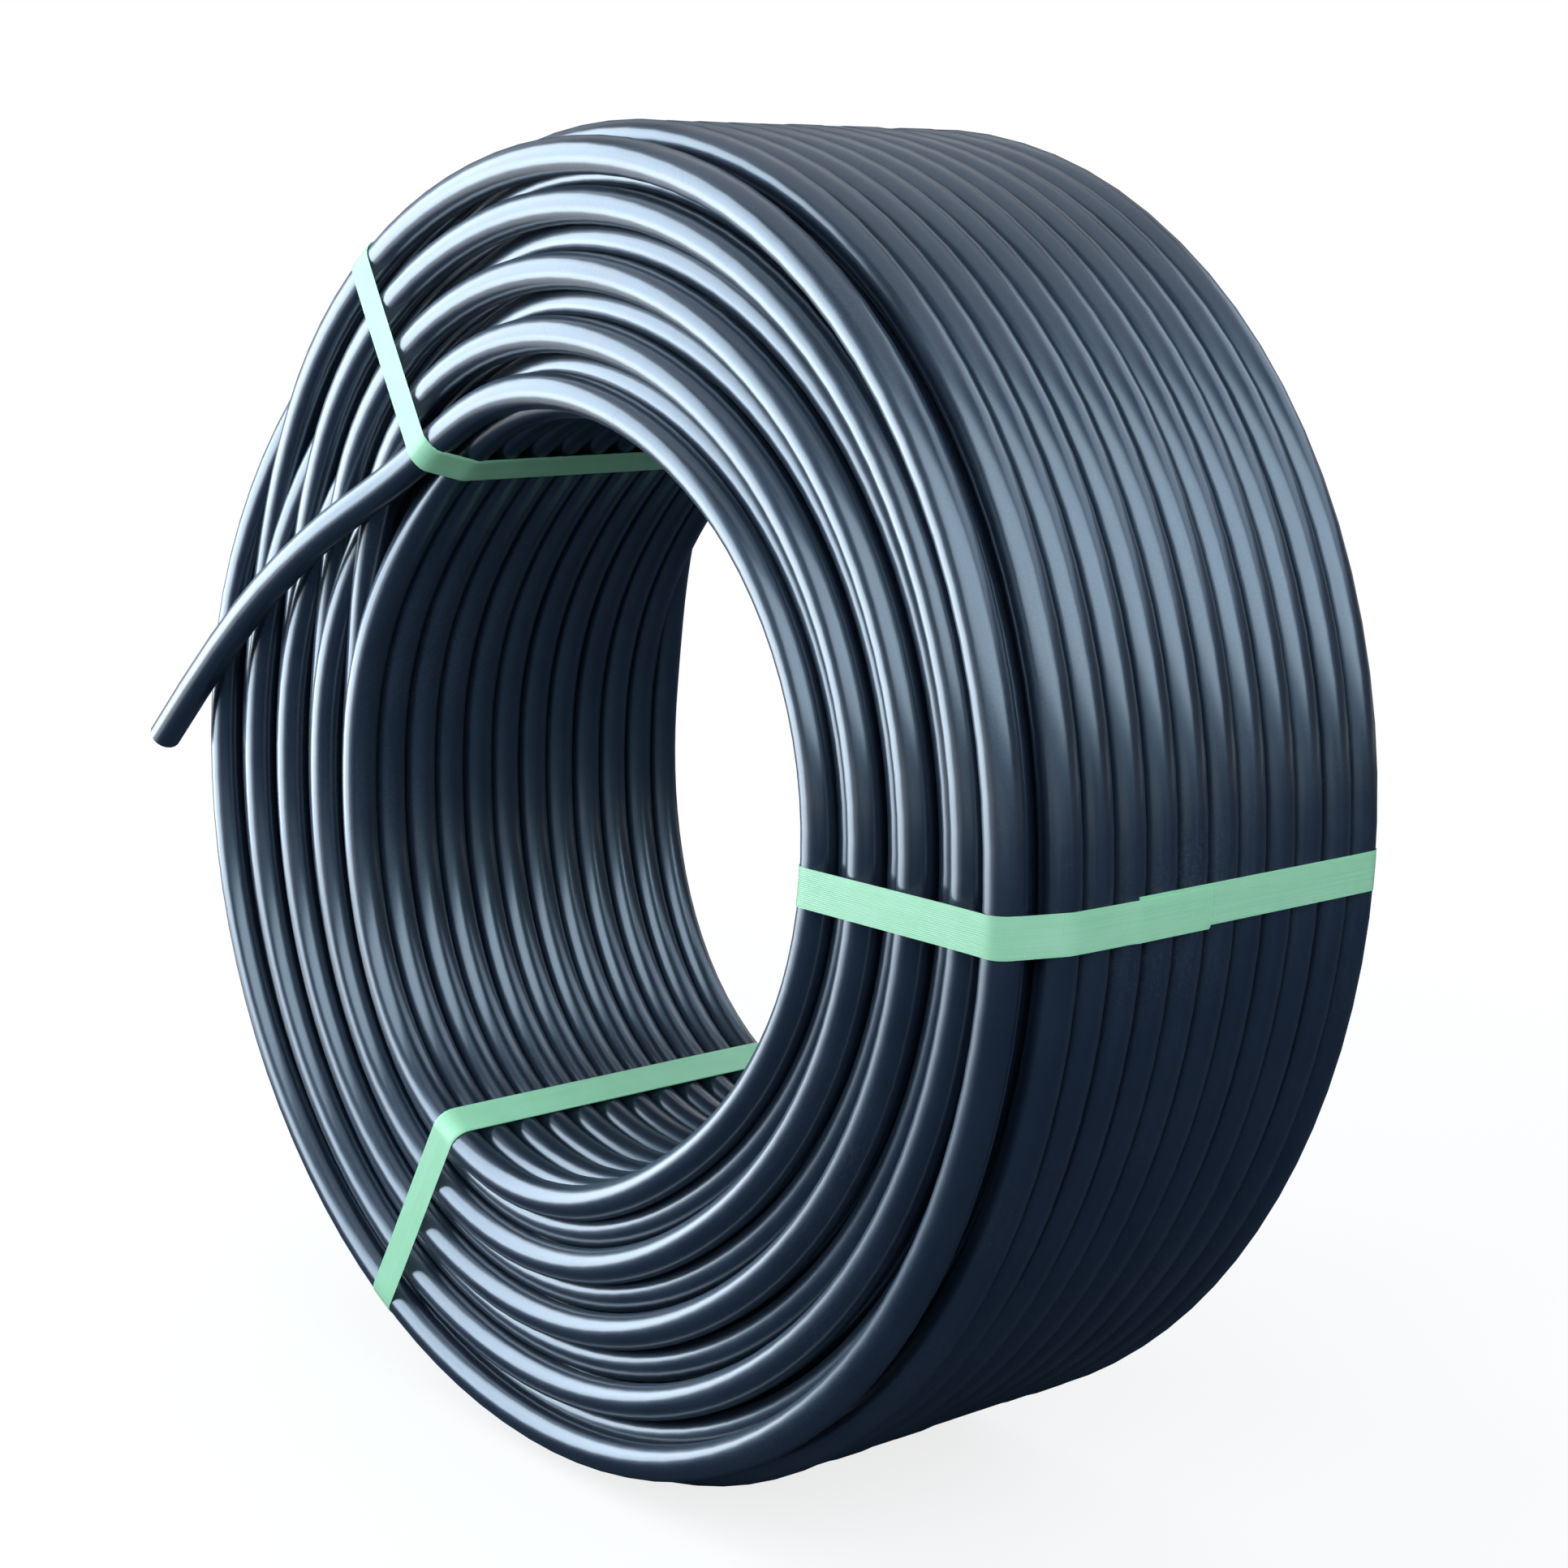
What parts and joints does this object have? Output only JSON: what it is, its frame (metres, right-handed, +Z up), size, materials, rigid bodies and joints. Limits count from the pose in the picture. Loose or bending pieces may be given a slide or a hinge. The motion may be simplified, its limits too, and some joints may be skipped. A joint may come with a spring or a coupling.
{
  "type": "irrigation hose coil",
  "caption": "Smooth round polyethylene irrigation hose wound in a layered coil that stands on edge, tied with flat plastic straps, with both plain cut ends free.",
  "frame": {"origin": "middle of the flat on which the coil rests, straight below the coil's axis", "axes": "+Z up, coil axis along Y, front face with the free inner end towards -Y, inner end pointing towards -X"},
  "size_m": [0.6344, 0.2166, 0.5955],
  "materials": {
    "hose": "smooth glossy extruded black polyethylene",
    "strap": "embossed translucent green polyester packing strap"
  },
  "bodies": {
    "root": {"hose_coil": "hose", "hose_inner_end": "hose", "hose_outer_end": "hose", "strap_side": "strap", "strap_upper": "strap", "strap_lower": "strap"}
  },
  "joints": []
}
